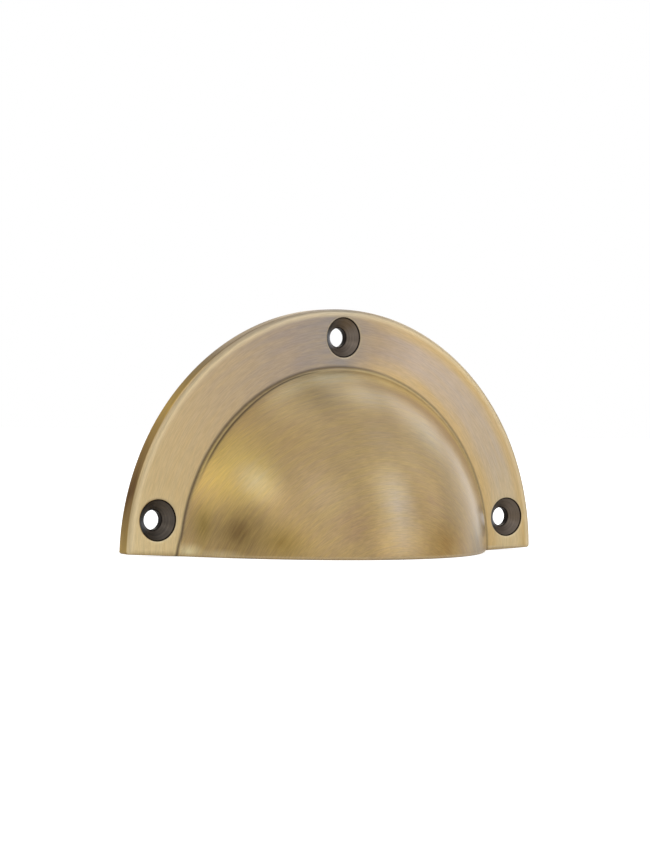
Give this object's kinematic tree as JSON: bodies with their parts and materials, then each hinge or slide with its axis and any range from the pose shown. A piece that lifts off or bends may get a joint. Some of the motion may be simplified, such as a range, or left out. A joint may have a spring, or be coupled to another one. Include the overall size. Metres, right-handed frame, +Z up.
{
  "type": "cup pull",
  "caption": "Half-round hooded drawer pull of cast brass: a flat plate with countersunk screw holes and a hollow hood that is open below and behind.",
  "frame": {"origin": "centre of the part's footprint, on the level bottom edge that it stands on", "axes": "+X along the straight bottom edge, which is the longest side; +Y out of the plate's flat back, towards the drawer that it is fixed to; +Z up, so the hood faces -Y"},
  "size_m": [0.102, 0.0264, 0.051],
  "materials": {
    "antique_brass": "brushed, aged and lightly lacquered"
  },
  "bodies": {
    "root": {"cup_pull": "antique_brass"}
  },
  "joints": []
}
